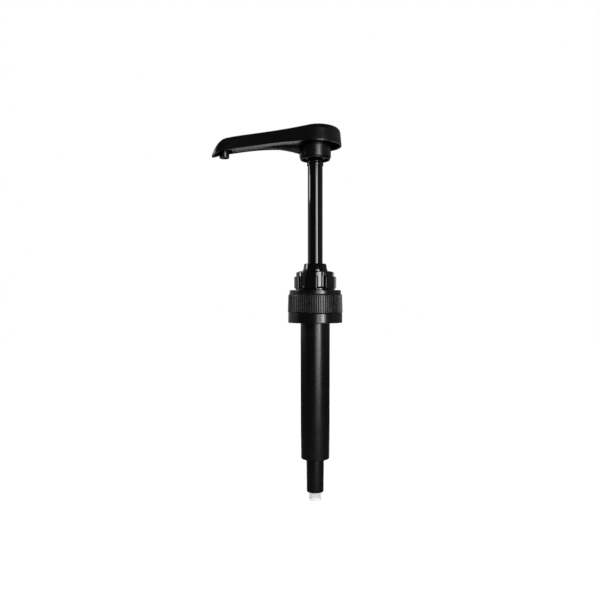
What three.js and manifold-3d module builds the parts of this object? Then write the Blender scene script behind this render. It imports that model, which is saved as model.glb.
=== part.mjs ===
// Condiment pump dispenser. Millimetres, +Z up, the spout points along -X.
// The origin is on the pump's axis at the plane where the closure's gasket meets the bottle's mouth.
import * as THREE from 'three';
import { mergeVertices } from 'three/addons/utils/BufferGeometryUtils.js';
import Module from 'manifold-3d';

const wasm = await Module();
wasm.setup();

// ---------------------------------------------------------------- driving dimensions
const SIDES = 40;               // facets of the round pieces
const SMALL_SIDES = 24;         // facets of seals, valves and inner rings
const GAP = 0.1;                // space between faces that rest on each other
const RUNNING = 0.1;            // radial clearance of a sliding fit

const STEM_R = 6.0;
const STEM_BORE_R = 4.2;
const STEM_TOP = 118.6;
const STEM_FOOT = -1.9;
const STEM_SOCKET_R = 6.12;     // holes that grip the stem's two ends
const STOP_RING = { r: 6.65, low: 104.7, high: 107.1 };
const HEAD_GROOVE = { r: 5.2, low: 113.4, high: 114.8 };
const FOOT_GROOVE = { r: 5.25, low: 3.9, high: 5.3 };
const STOP_SEAT = { r: 4.95, top: 0.4 };
const O_RING = { r: 5.66, wire: 0.4 };

const BARREL_BORE_R = 10.2;
const BARREL_TOP_R = 11.8;
const BARREL_FOOT_R = 11.6;
const BARREL_FOOT = -130.0;
const BARREL_LEDGE = { r: 9.3, top: -129.2 };
const VENT = { r: 0.9, y: 11, z: -4, length: 6 };
const INLET = { r: 7.2, bore: 5.45, foot: -156.5, plug: 9.2, flange: 10.1, floor: -128.2, throat: 3.6 };
const DIP_TUBE = { r: 5.4, bore: 4.4, low: -163.4, high: -134.1 };

const FLANGE = { r: 18.6, low: 1.0, high: 2.6 };
const NECK_R = 11.9;
const NECK_TOP = 15.0;
const NECK_THREAD = { inner: 11.7, outer: 12.5, pitch: 3.0, turns: 1.9, width: 1.2, low: 7.4 };

const CAP = { top: 4.9, ceiling: 2.9, foot: -21.2, hole: 12.9, bore: 19.15, crown: 20.65, band: 21.7 };
const RIBS = { count: 72, root: 21.15, crest: 22.0, low: -13.5, high: 1.6, narrowing: 0.02 };
const CAP_THREAD = { inner: 17.8, outer: 19.4, pitch: 4.23, turns: 1.3, width: 1.5, low: -12.5 };

const NUT = { foot: 5.2, top: 19.9, core: 14.0, bore: 12.95, ceiling: 17.9, hole: 10.3, base: 15.8 };
const NUT_THREAD_TURNS = 1.6;
const LUG = { count: 6, span: 36, first: -104, low: 6.2, step: 15.7, high: 19.3, wide: 16.9, narrow: 15.3 };

const GUIDE = { top: 26.1, flange_r: 11.7, flange_low: 16.1, foot: 8.0, foot_r: 9.95 };
const GUIDE_DOME = [[9.9, 21.2], [9.5, 21.6], [9.1, 25.3], [8.3, 26.1]];
const WIPER_POCKET = { r: 8.7, top: 12.6 };
const WIPER_SECTION = [
  [6.6, 9.7], [8.6, 9.7], [8.6, 12.5], [6.9, 12.5], [6.08, 11.9], [6.08, 11.5], [6.6, 10.9],
];
const RETAINER = { inner: 6.5, outer: 8.6, low: 8.1, high: 9.6 };
const NUT_GASKET = { inner: 10.4, outer: 12.4 };
const NECK_GASKET = { inner: 12.0, outer: 18.4, high: 0.95 };

const CARRIER = { top: 7.6, foot: -15.0, hub: 7.9, flange: 9.7, land: 9.0, rim: 8.8, chamber: 5.0, port: 2.9 };
const CARRIER_STEPS = { guide_low: -12.6, guide_high: -8.6, land_high: -0.9, seal_low: 0.4, seal_high: 6.2 };
const SEAL_LIPS = [
  [9.4, 0.5], [10.0, 1.2], [10.12, 2.0], [9.75, 3.0], [9.75, 4.2], [10.12, 5.2], [9.9, 6.1], [9.3, 5.4],
];
const GUIDE_RING_RIM = [[9.7, -12.5], [10.12, -11.9], [10.12, -9.3], [9.7, -8.7]];
const WASHER = { inner: 5.0, outer: 9.6, thick: 1.1 };
const BALL_STOP = { inner: 2.6, outer: 4.14, low: 0.6, high: 2.6 };
const STOP_NOTCH = { count: 3, half: 0.9, from: 1.8, to: 3.5 };
const OUTLET_BALL_R = 3.97;
const INLET_BALL_R = 4.76;
const OUTLET_SEAT = { wide: [CARRIER.chamber, -7.0], narrow: [CARRIER.port, -9.6] };
const INLET_SEAT = { wide: [6.0, INLET.floor], narrow: [INLET.throat, -131.3] };
const CAGE = { top: -118.4, ceiling: -120.2, bore: 5.2, r: 7.0, foot: -128.1, foot_r: 9.9, foot_top: -125.0 };
const CAGE_WINDOW = { half: 2.2, reach: 8, crown_hole: 2.2, sill: 0.4 };

const SPRING = { r: 8.3, wire: 0.75, low: -124.8, high: -16.4 };
const SPRING_TURNS = { active: 13, closed: 1.0, closed_pitch: 1.75 };

const HEAD_R = 21.2;
const HEAD_WALL = 1.8;
const HEAD_TOP = 135.0;
const HEAD_CEILING = 131.6;
const POCKET_START_X = -12;
const ARM_HALF = 8.2;
const NOSE_X = -83.1;
const NOSE_START_X = -70.0;
const BLEND = { angle: 113, waist_x: -36.4, waist_out: 0.4, end_x: -58 };
const NOSE_ROUND = { pull: 8, share: 0.72 };
const CREST = [[0, HEAD_TOP], [-24, 131.9], [-50, 131.0], [-70, 126.9]];
const BROW = [[-77.5, 125.5], [-80.2, 119.0], [-83.3, 111.6]];
const CHIN = [[-82.2, 111.6], [-78.5, 114.2]];
const LIP_RIGHT_Z = 120.4;
const LIP_CURVE = [[-24, 120.6], [-44, 120.2], [-62, 116.8], [-74, 115.3]];
const COLLAR = { r: 12.65, low: 109.3, bore: 10.9, boss: 8.6, boss_low: 110.9, top: 119.0, hollow_top: 117.5 };
const WELL_TOP = 126.3;         // where the stem's bore meets the flow channel
const NOZZLE = { x: -73.0, r: 3.95, bore: 2.5, low: 110.8, top: 119.7, bore_top: 122.5 };
const CHANNEL = { half: 2.8, depth: 6.2, overlap: 4, nose_low: 120.4, nose_high: 123.2 };
const NOSE_CEILING = 119.2;
const COVER = { half: 6.2, start: -12.4, end: -64.6, lift: 0.2, thick: 1.6, crown: 0.6 };
const RECESS = { depth: 2.2, side: 0.3, ends: 0.4, rail: 1.2 };
const GUSSET = { half: 1.5, end: [-47, 119.4], bend: [-24, 117.6], root_low: 114.2, root_high: 121.2 };
const TOOL = { low: 90, high: 140, reach: 30, below: 15 };   // extents of cutting tools, clear of the part

// ---------------------------------------------------------------- solids
function toSolid(geometry) {
  geometry.deleteAttribute('normal');
  geometry.deleteAttribute('uv');
  const merged = mergeVertices(geometry, 1e-4);
  const index = merged.index.array;
  const kept = [];
  for (let i = 0; i < index.length; i += 3) {
    const [a, b, c] = [index[i], index[i + 1], index[i + 2]];
    if (a !== b && b !== c && c !== a) kept.push(a, b, c);
  }
  return new wasm.Manifold(new wasm.Mesh({
    numProp: 3,
    vertProperties: new Float32Array(merged.attributes.position.array),
    triVerts: new Uint32Array(kept),
  }));
}

function join(...solids) {
  return solids.reduce((whole, piece) => whole.add(piece));
}

function cut(solid, ...tools) {
  return tools.reduce((whole, tool) => whole.subtract(tool), solid);
}

// A closed profile of [radius, height] points, listed anticlockwise, turned about Z.
function turned(profile, sides = SIDES) {
  const closed = [...profile, profile[0]].map(([r, z]) => new THREE.Vector2(r, z));
  return toSolid(new THREE.LatheGeometry(closed, sides).rotateX(Math.PI / 2));
}

function ring(inner, outer, low, high, sides = SIDES) {
  return turned([[inner, low], [outer, low], [outer, high], [inner, high]], sides);
}

function disc(radius, low, high, sides = SIDES) {
  return turned([[0, low], [radius, low], [radius, high], [0, high]], sides);
}

function roundSection(radius, height, wire, points = 6) {
  const profile = [];
  for (let i = 0; i < points; i++) {
    const turn = (2 * Math.PI * (i + 0.5)) / points;
    profile.push([radius + wire * Math.cos(turn), height + wire * Math.sin(turn)]);
  }
  return profile;
}

function block(low, high) {
  const size = new THREE.Vector3().subVectors(high, low);
  const middle = new THREE.Vector3().addVectors(low, high).multiplyScalar(0.5);
  return new THREE.BoxGeometry(size.x, size.y, size.z).translate(middle.x, middle.y, middle.z);
}

function box(x0, y0, z0, x1, y1, z1) {
  return toSolid(block(new THREE.Vector3(x0, y0, z0), new THREE.Vector3(x1, y1, z1)));
}

function prism(shape, low, high, curveSegments = 12) {
  const geometry = new THREE.ExtrudeGeometry(shape, { depth: high - low, bevelEnabled: false, curveSegments });
  return toSolid(geometry.translate(0, 0, low));
}

// A shape drawn in (x, z), extruded across the pump between two y values.
function sidePrism(shape, y0, y1, curveSegments = 12) {
  const geometry = new THREE.ExtrudeGeometry(shape, { depth: y1 - y0, bevelEnabled: false, curveSegments });
  return toSolid(geometry.rotateX(Math.PI / 2).translate(0, y1, 0));
}

// A helix that climbs from `low`, with a pitch that may change along its turns.
class Helix extends THREE.Curve {
  constructor(radius, turns, heightAt) {
    super();
    this.radius = radius;
    this.turns = turns;
    this.heightAt = heightAt;
  }

  getPoint(t, target = new THREE.Vector3()) {
    const turn = t * this.turns;
    const angle = 2 * Math.PI * turn;
    return target.set(this.radius * Math.cos(angle), this.radius * Math.sin(angle), this.heightAt(turn));
  }
}

// A thread ridge: flat rings of four corners, one every step, skinned into one solid.
function thread({ inner, outer, pitch, turns, width, low }, stepsPerTurn = 24) {
  const steps = Math.round(turns * stepsPerTurn);
  const slope = width * 0.25;
  const corners = [[inner, 0], [outer, slope], [outer, width - slope], [inner, width]];
  const positions = [];
  for (let i = 0; i <= steps; i++) {
    const turn = i / stepsPerTurn;
    const angle = 2 * Math.PI * turn;
    const rise = low + pitch * turn;
    for (const [radius, up] of corners) {
      positions.push(radius * Math.cos(angle), radius * Math.sin(angle), rise + up);
    }
  }
  const faces = [];
  for (let i = 0; i < steps; i++) {
    for (let k = 0; k < 4; k++) {
      const [a, b] = [4 * i + k, 4 * i + ((k + 1) % 4)];
      faces.push(a, a + 4, b, b, a + 4, b + 4);
    }
  }
  const last = 4 * steps;
  faces.push(0, 1, 2, 0, 2, 3, last, last + 2, last + 1, last, last + 3, last + 2);
  const geometry = new THREE.BufferGeometry();
  geometry.setAttribute('position', new THREE.Float32BufferAttribute(positions, 3));
  geometry.setIndex(faces);
  return toSolid(geometry);
}

// ---------------------------------------------------------------- materials and the scene graph
const FINISHES = {
  satin_black: { color: 0x17181a, roughness: 0.45, metalness: 0 },
  gloss_black: { color: 0x121314, roughness: 0.18, metalness: 0 },
  ribbed_black: { color: 0x1b1c1e, roughness: 0.55, metalness: 0 },
  seal_grey: { color: 0x3a3d40, roughness: 0.7, metalness: 0 },
  seal_white: { color: 0xe9e7e0, roughness: 0.5, metalness: 0 },
  natural_plastic: { color: 0xe4e6e3, roughness: 0.4, metalness: 0 },
  steel: { color: 0xb9bcc0, roughness: 0.25, metalness: 1 },
};

const pump = new THREE.Group();
pump.name = 'condiment_pump';

function addPart(name, finish, solid, position = [0, 0, 0]) {
  const { vertProperties, triVerts, numProp } = solid.getMesh();
  const positions = [];
  for (let i = 0; i < vertProperties.length; i += numProp) {
    positions.push(vertProperties[i], vertProperties[i + 1], vertProperties[i + 2]);
  }
  const geometry = new THREE.BufferGeometry();
  geometry.setAttribute('position', new THREE.Float32BufferAttribute(positions, 3));
  geometry.setIndex([...triVerts]);
  geometry.computeVertexNormals();
  const mesh = new THREE.Mesh(geometry, new THREE.MeshStandardMaterial(FINISHES[finish]));
  mesh.name = name;
  mesh.position.set(...position);
  pump.add(mesh);
}

// ---------------------------------------------------------------- lever head
// Seen from above: a round end that narrows along two smooth curves into the arm, with a round nose.
function leverPlan(inset) {
  const r = HEAD_R - inset;
  const half = ARM_HALF - inset;
  const tangent = THREE.MathUtils.degToRad(BLEND.angle);
  const [tx, ty] = [r * Math.cos(tangent), r * Math.sin(tangent)];
  const nose = NOSE_X + inset;
  const plan = new THREE.Shape();
  plan.moveTo(tx, ty);
  plan.quadraticCurveTo(BLEND.waist_x, half + BLEND.waist_out, BLEND.end_x, half);
  plan.lineTo(NOSE_START_X, half);
  const [pullX, roundY] = [NOSE_START_X - NOSE_ROUND.pull, half * NOSE_ROUND.share];
  plan.bezierCurveTo(pullX, half, nose, roundY, nose, 0);
  plan.bezierCurveTo(nose, -roundY, pullX, -half, NOSE_START_X, -half);
  plan.lineTo(BLEND.end_x, -half);
  plan.quadraticCurveTo(BLEND.waist_x, -half - BLEND.waist_out, tx, -ty);
  plan.absarc(0, 0, r, -tangent, tangent, false);
  return plan;
}

// Height of the lever's lower lip at a distance x along the arm.
const LIP = new THREE.CubicBezierCurve(...LIP_CURVE.map(([x, z]) => new THREE.Vector2(x, z)));

// The lever from the side, with its lower edge raised by `lift` and its upper edge lowered by `drop`.
function leverSide(lift, drop) {
  const side = new THREE.Shape();
  side.moveTo(HEAD_R + 1, LIP_RIGHT_Z + lift);
  side.lineTo(HEAD_R + 1, HEAD_TOP - drop);
  side.lineTo(CREST[0][0], CREST[0][1] - drop);
  side.bezierCurveTo(...CREST.slice(1).flatMap(([x, z]) => [x, z - drop]));
  const [high, middle, low] = BROW;
  side.bezierCurveTo(high[0] + drop, high[1] - drop, middle[0] + drop, middle[1], low[0] + drop, low[1] + lift);
  side.lineTo(CHIN[0][0] + drop, CHIN[0][1] + lift);
  side.quadraticCurveTo(CHIN[1][0], CHIN[1][1] + lift, LIP.v3.x, LIP.v3.y + lift);
  side.bezierCurveTo(LIP.v2.x, LIP.v2.y + lift, LIP.v1.x, LIP.v1.y + lift, LIP.v0.x, LIP.v0.y + lift);
  side.closePath();
  return side;
}

function lipAt(x) {
  if (x >= LIP.v0.x) return LIP.v0.y;
  let [a, b] = [0, 1];
  for (let i = 0; i < 24; i++) {
    const middle = (a + b) / 2;
    if (LIP.getPoint(middle).x > x) a = middle; else b = middle;
  }
  return LIP.getPoint(a).y;
}

// A flat strip that follows the lip between two places on the arm, from `low` to `high` above it.
function alongLip(xNear, xFar, low, high) {
  const steps = 8;
  const points = [];
  for (let i = 0; i <= steps; i++) {
    const x = xNear + ((xFar - xNear) * i) / steps;
    points.push([x, lipAt(x)]);
  }
  const outline = points.map(([x, z]) => new THREE.Vector2(x, z + low));
  for (const [x, z] of [...points].reverse()) outline.push(new THREE.Vector2(x, z + high));
  return new THREE.Shape(outline);
}

function makeHead() {
  const outer = prism(leverPlan(0), TOOL.low, TOOL.high, 10)
    .intersect(sidePrism(leverSide(0, 0), -TOOL.reach, TOOL.reach, 10));
  const rail = COVER.half + RECESS.rail;
  const roundPocket = cut(
    disc(HEAD_R - HEAD_WALL, TOOL.low, HEAD_CEILING),
    box(-TOOL.reach, -rail, TOOL.low - 1, 0, rail, TOOL.high),
    box(-TOOL.reach, -TOOL.reach, TOOL.low - 1, POCKET_START_X, TOOL.reach, TOOL.high),
  );
  const nosePocket = prism(leverPlan(HEAD_WALL), TOOL.low, NOSE_CEILING, 6)
    .intersect(sidePrism(leverSide(-TOOL.below, HEAD_WALL), -TOOL.reach, TOOL.reach, 8))
    .subtract(box(COVER.end - HEAD_WALL, -TOOL.reach, TOOL.low - 1, TOOL.reach, TOOL.reach, TOOL.high));
  const recess = sidePrism(
    alongLip(COVER.start + RECESS.ends, COVER.end - RECESS.ends, -TOOL.below, RECESS.depth),
    -COVER.half - RECESS.side, COVER.half + RECESS.side);
  const channel = join(
    sidePrism(alongLip(0, COVER.end, COVER.thick, CHANNEL.depth), -CHANNEL.half, CHANNEL.half),
    box(NOZZLE.x, -NOZZLE.bore, CHANNEL.nose_low, COVER.end + CHANNEL.overlap, NOZZLE.bore, CHANNEL.nose_high),
  );
  const shell = cut(outer, roundPocket, nosePocket, recess.subtract(disc(COLLAR.r, TOOL.low, TOOL.high)));
  const nozzleOuter = disc(NOZZLE.r, NOZZLE.low, NOZZLE.top, 24).translate([NOZZLE.x, 0, 0]);
  const nozzleBore = disc(NOZZLE.bore, TOOL.low, NOZZLE.bore_top, 24).translate([NOZZLE.x, 0, 0]);
  const collarOuter = disc(COLLAR.r, COLLAR.low, HEAD_CEILING + GAP);
  const collarHollow = ring(COLLAR.boss, COLLAR.bore, TOOL.low, COLLAR.hollow_top);
  const collarMouth = disc((COLLAR.boss + COLLAR.bore) / 2, TOOL.low, COLLAR.boss_low);
  const socket = disc(STEM_SOCKET_R, TOOL.low, COLLAR.top);
  const well = disc(STEM_BORE_R, COLLAR.top - 1, WELL_TOP);
  const whole = join(shell, collarOuter, nozzleOuter);
  return cut(whole, channel, nozzleBore, collarHollow, collarMouth, socket, well);
}

// Closing plate of the arm's flow channel, with a curved stiffening gusset towards the collar.
function makeCover() {
  const strip = alongLip(COVER.start, COVER.end, COVER.lift, COVER.lift + COVER.thick);
  const crown = (point) => {
    if (Math.abs(point[1]) < GAP && point[2] < lipAt(point[0]) + COVER.thick / 2) point[2] -= COVER.crown;
  };
  const plate = join(
    sidePrism(strip, -COVER.half, 0).warp(crown),
    sidePrism(strip, 0, COVER.half).warp(crown),
  );
  const gusset = new THREE.Shape();
  gusset.moveTo(COVER.start, GUSSET.root_high);
  gusset.lineTo(...GUSSET.end);
  gusset.quadraticCurveTo(...GUSSET.bend, COVER.start, GUSSET.root_low);
  gusset.closePath();
  const rib = sidePrism(gusset, -GUSSET.half, GUSSET.half, 8);
  return join(plate, rib).subtract(disc(COLLAR.r + GAP, TOOL.low, TOOL.high));
}

// ---------------------------------------------------------------- plunger
function makeStem() {
  return turned([
    [STOP_SEAT.r, STEM_FOOT], [STEM_R, STEM_FOOT], [STEM_R, FOOT_GROOVE.low], [FOOT_GROOVE.r, FOOT_GROOVE.low],
    [FOOT_GROOVE.r, FOOT_GROOVE.high], [STEM_R, FOOT_GROOVE.high], [STEM_R, STOP_RING.low],
    [STOP_RING.r, STOP_RING.low], [STOP_RING.r, STOP_RING.high], [STEM_R, STOP_RING.high],
    [STEM_R, HEAD_GROOVE.low], [HEAD_GROOVE.r, HEAD_GROOVE.low], [HEAD_GROOVE.r, HEAD_GROOVE.high],
    [STEM_R, HEAD_GROOVE.high], [STEM_R, STEM_TOP], [STEM_BORE_R, STEM_TOP], [STEM_BORE_R, STOP_SEAT.top],
    [STOP_SEAT.r, STOP_SEAT.top],
  ]);
}

function makeORing(groove) {
  return turned(roundSection(O_RING.r, (groove.low + groove.high) / 2, O_RING.wire), SMALL_SIDES);
}

function makeBallStop() {
  const { inner, outer, low, high } = BALL_STOP;
  const { count, half, from, to } = STOP_NOTCH;
  let stop = ring(inner, outer, low, high, SMALL_SIDES);
  for (let i = 0; i < count; i++) {
    const notch = block(new THREE.Vector3(from, -half, low - 1), new THREE.Vector3(to, half, high + 1));
    stop = stop.subtract(toSolid(notch.rotateZ((2 * Math.PI * i) / count)));
  }
  return stop;
}

function makeCarrier() {
  const { guide_low: guideLow, guide_high: guideHigh, land_high: landHigh } = CARRIER_STEPS;
  const { seal_low: sealLow, seal_high: sealHigh } = CARRIER_STEPS;
  return turned([
    [CARRIER.port, CARRIER.foot], [CARRIER.flange, CARRIER.foot], [CARRIER.flange, guideLow],
    [CARRIER.hub, guideLow], [CARRIER.hub, guideHigh], [CARRIER.land, guideHigh], [CARRIER.land, landHigh],
    [CARRIER.flange, landHigh], [CARRIER.flange, sealLow], [CARRIER.hub, sealLow], [CARRIER.hub, sealHigh],
    [CARRIER.rim, sealHigh], [CARRIER.rim, CARRIER.top], [STEM_SOCKET_R, CARRIER.top],
    [STEM_SOCKET_R, STEM_FOOT - GAP], [CARRIER.chamber, STEM_FOOT - GAP], OUTLET_SEAT.wide, OUTLET_SEAT.narrow,
  ], SMALL_SIDES);
}

function makePistonSeal() {
  const inner = CARRIER.hub + GAP;
  const [top, foot] = [SEAL_LIPS[SEAL_LIPS.length - 1][1] - 4 * GAP, SEAL_LIPS[0][1]];
  return turned([[inner, foot], ...SEAL_LIPS, [inner, top]], SMALL_SIDES);
}

function makeGuideRing() {
  const inner = CARRIER.hub + GAP;
  const [foot, top] = [GUIDE_RING_RIM[0][1], GUIDE_RING_RIM[GUIDE_RING_RIM.length - 1][1]];
  return turned([[inner, foot], ...GUIDE_RING_RIM, [inner, top]], SMALL_SIDES);
}

// Height of a ball's centre when it rests `play` above a conical seat.
function restHeight(radius, seat, play = 0.03) {
  const [dr, dz] = [seat.wide[0] - seat.narrow[0], seat.wide[1] - seat.narrow[1]];
  const slant = Math.hypot(dr, dz);
  return seat.wide[1] + (radius + play - (seat.wide[0] * dz) / slant) / (dr / slant);
}

function makeBall(radius) {
  return toSolid(new THREE.SphereGeometry(radius, 16, 10));
}

// Closed ends of nearly touching turns, and evenly open turns between them.
function springHeight(turn) {
  const { closed, active, closed_pitch: pitch } = SPRING_TURNS;
  const start = SPRING.low + SPRING.wire;
  const open = (SPRING.high - SPRING.low - 2 * SPRING.wire - 2 * closed * pitch) / active;
  if (turn <= closed) return start + turn * pitch;
  if (turn <= closed + active) return start + closed * pitch + (turn - closed) * open;
  return start + closed * pitch + active * open + (turn - closed - active) * pitch;
}

function makeSpring() {
  const turns = SPRING_TURNS.active + 2 * SPRING_TURNS.closed;
  const wire = new THREE.Shape(roundSection(0, 0, SPRING.wire, 5).map(([x, y]) => new THREE.Vector2(x, y)));
  const path = new Helix(SPRING.r, turns, springHeight);
  return toSolid(new THREE.ExtrudeGeometry(wire, { steps: Math.round(turns * 10), extrudePath: path }));
}

// ---------------------------------------------------------------- guide and nut
function makeGuide() {
  return turned([
    [WIPER_POCKET.r, GUIDE.foot], [GUIDE.foot_r, GUIDE.foot], [GUIDE.foot_r, GUIDE.flange_low],
    [GUIDE.flange_r, GUIDE.flange_low], [GUIDE.flange_r, NUT.ceiling - GAP],
    [GUIDE_DOME[0][0], NUT.ceiling - GAP], ...GUIDE_DOME,
    [STEM_R + RUNNING, GUIDE.top], [STEM_R + RUNNING, WIPER_POCKET.top], [WIPER_POCKET.r, WIPER_POCKET.top],
  ], SMALL_SIDES);
}

function makeNut() {
  const body = turned([
    [NUT.bore, NUT.foot], [NUT.base, NUT.foot], [NUT.base, LUG.low], [NUT.core, LUG.low + 0.6],
    [NUT.core, NUT.top - 0.9], [NUT.core - 0.9, NUT.top], [NUT.hole, NUT.top], [NUT.hole, NUT.ceiling],
    [NUT.bore, NUT.ceiling],
  ]);
  let nut = body;
  for (let i = 0; i < LUG.count; i++) {
    const middle = THREE.MathUtils.degToRad(LUG.first + (360 / LUG.count) * i);
    const half = THREE.MathUtils.degToRad(LUG.span / 2);
    nut = join(nut, sector(middle - half, middle + half, LUG.wide, LUG.low - 0.2, LUG.step),
      sector(middle - half, middle + half, LUG.narrow, LUG.step - 0.5, LUG.high));
  }
  const ridge = { ...NECK_THREAD, inner: NECK_THREAD.outer + 0.1, outer: NUT.bore + 0.3 };
  const low = NECK_THREAD.low + NECK_THREAD.pitch / 2;
  return join(nut, thread({ ...ridge, low, turns: NUT_THREAD_TURNS }));
}

function sector(from, to, radius, low, high) {
  const shape = new THREE.Shape();
  const inner = NUT.bore + 0.4;
  shape.moveTo(inner * Math.cos(from), inner * Math.sin(from));
  shape.lineTo(radius * Math.cos(from), radius * Math.sin(from));
  shape.absarc(0, 0, radius, from, to, false);
  shape.lineTo(inner * Math.cos(to), inner * Math.sin(to));
  shape.absarc(0, 0, inner, to, from, true);
  return prism(shape, low, high, 3);
}

// ---------------------------------------------------------------- closure and cylinder
function ribbedBand() {
  const outline = [];
  const pitch = (2 * Math.PI) / RIBS.count;
  for (let i = 0; i < RIBS.count; i++) {
    for (const [share, radius] of [[0, RIBS.root], [0.28, RIBS.crest], [0.72, RIBS.crest]]) {
      const angle = (i + share) * pitch;
      outline.push(new THREE.Vector2(radius * Math.cos(angle), radius * Math.sin(angle)));
    }
  }
  const height = RIBS.high - RIBS.low;
  const geometry = new THREE.ExtrudeGeometry(new THREE.Shape(outline), { depth: height, bevelEnabled: false });
  const place = geometry.attributes.position;
  for (let i = 0; i < place.count; i++) {
    const scale = 1 - (RIBS.narrowing * place.getZ(i)) / height;
    place.setX(i, place.getX(i) * scale);
    place.setY(i, place.getY(i) * scale);
  }
  return toSolid(geometry.translate(0, 0, RIBS.low));
}

function makeCap() {
  const skin = turned([
    [0, CAP.foot], [CAP.band - 0.4, CAP.foot], [CAP.band, CAP.foot + 0.5], [CAP.band, RIBS.low - 0.3],
    [RIBS.root, RIBS.low], [RIBS.root - 0.5, RIBS.high], [CAP.crown, RIBS.high + 0.2],
    [CAP.crown, CAP.top - 0.6], [CAP.crown - 0.6, CAP.top], [0, CAP.top],
  ]);
  const hollow = join(disc(CAP.bore, CAP.foot - 1, CAP.ceiling), disc(CAP.hole, CAP.ceiling - 1, CAP.top + 1));
  return join(cut(join(skin, ribbedBand()), hollow), thread(CAP_THREAD));
}

function makeCylinder() {
  const body = turned([
    [BARREL_LEDGE.r, BARREL_FOOT], [BARREL_FOOT_R - 0.8, BARREL_FOOT], [BARREL_FOOT_R, BARREL_FOOT + 0.8],
    [BARREL_TOP_R, FLANGE.low], [FLANGE.r, FLANGE.low], [FLANGE.r, FLANGE.high], [NECK_R, FLANGE.high],
    [NECK_R, NECK_TOP], [BARREL_BORE_R, NECK_TOP], [BARREL_BORE_R, BARREL_LEDGE.top],
    [BARREL_LEDGE.r, BARREL_LEDGE.top],
  ]);
  const drill = new THREE.CylinderGeometry(VENT.r, VENT.r, VENT.length, 12);
  const vent = toSolid(drill.translate(0, VENT.y, VENT.z));
  return cut(join(body, thread(NECK_THREAD)), vent);
}

// Plug in the barrel's end with the inlet valve's seat above and the dip tube's spigot below.
function makeInletFitting() {
  return turned([
    [INLET.bore, INLET.foot], [INLET.r - 0.6, INLET.foot], [INLET.r - 0.1, INLET.foot + 0.7],
    [INLET.r, BARREL_FOOT], [INLET.plug, BARREL_FOOT], [INLET.plug, BARREL_LEDGE.top + GAP],
    [INLET.flange, BARREL_LEDGE.top + GAP], [INLET.flange, INLET.floor], INLET_SEAT.wide, INLET_SEAT.narrow,
    [INLET.throat, DIP_TUBE.high + GAP], [INLET.bore, DIP_TUBE.high + GAP],
  ]);
}

function makeCage() {
  let cage = turned([
    [CAGE.bore, CAGE.foot], [CAGE.foot_r, CAGE.foot], [CAGE.foot_r, CAGE.foot_top], [CAGE.r, CAGE.foot_top],
    [CAGE.r, CAGE.top], [CAGE_WINDOW.crown_hole, CAGE.top], [CAGE_WINDOW.crown_hole, CAGE.ceiling],
    [CAGE.bore, CAGE.ceiling],
  ], SMALL_SIDES);
  const { half, reach, sill } = CAGE_WINDOW;
  for (const turn of [0, Math.PI / 2]) {
    const low = new THREE.Vector3(-reach, -half, CAGE.foot_top + sill);
    const slot = block(low, new THREE.Vector3(reach, half, CAGE.ceiling));
    cage = cage.subtract(toSolid(slot.rotateZ(turn)));
  }
  return cage;
}

// ---------------------------------------------------------------- assembly
addPart('pump_head', 'satin_black', makeHead());
addPart('channel_cover', 'gloss_black', makeCover());
addPart('stem', 'gloss_black', makeStem());
addPart('head_o_ring', 'seal_grey', makeORing(HEAD_GROOVE));
addPart('stem_o_ring', 'seal_grey', makeORing(FOOT_GROOVE));
addPart('outlet_ball_stop', 'natural_plastic', makeBallStop());

addPart('stem_guide', 'gloss_black', makeGuide());
addPart('stem_wiper', 'seal_grey', turned(WIPER_SECTION, SMALL_SIDES));
addPart('wiper_retainer', 'natural_plastic',
  ring(RETAINER.inner, RETAINER.outer, RETAINER.low, RETAINER.high, SMALL_SIDES));
addPart('guide_nut', 'gloss_black', makeNut());
addPart('nut_gasket', 'seal_white',
  ring(NUT_GASKET.inner, NUT_GASKET.outer, NECK_TOP + GAP, GUIDE.flange_low - GAP, SMALL_SIDES));

addPart('closure_cap', 'ribbed_black', makeCap());
addPart('neck_gasket', 'seal_white', ring(NECK_GASKET.inner, NECK_GASKET.outer, 0, NECK_GASKET.high));
addPart('cylinder', 'satin_black', makeCylinder());
addPart('inlet_fitting', 'satin_black', makeInletFitting());

addPart('piston_carrier', 'natural_plastic', makeCarrier());
addPart('piston_seal', 'seal_white', makePistonSeal());
addPart('piston_guide_ring', 'seal_white', makeGuideRing());
addPart('spring_washer', 'steel',
  ring(WASHER.inner, WASHER.outer, CARRIER.foot - GAP - WASHER.thick, CARRIER.foot - GAP, SMALL_SIDES));
addPart('outlet_ball', 'steel', makeBall(OUTLET_BALL_R), [0, 0, restHeight(OUTLET_BALL_R, OUTLET_SEAT)]);

addPart('return_spring', 'steel', makeSpring());
addPart('inlet_ball_cage', 'natural_plastic', makeCage());
addPart('inlet_ball', 'steel', makeBall(INLET_BALL_R), [0, 0, restHeight(INLET_BALL_R, INLET_SEAT)]);
addPart('dip_tube', 'natural_plastic', ring(DIP_TUBE.bore, DIP_TUBE.r, DIP_TUBE.low, DIP_TUBE.high));

export default pump;
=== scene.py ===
"""Looks of the condiment pump dispenser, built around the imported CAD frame.

Sizes are in millimetres in the functions below and become metres when a mesh is made. +Z is up, the spout
points along -X, and the origin is where the neck gasket meets the bottle's mouth.
"""
import math
from collections import namedtuple

import bmesh
import bpy
import numpy as np
from mathutils import Matrix, Quaternion, Vector


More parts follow.
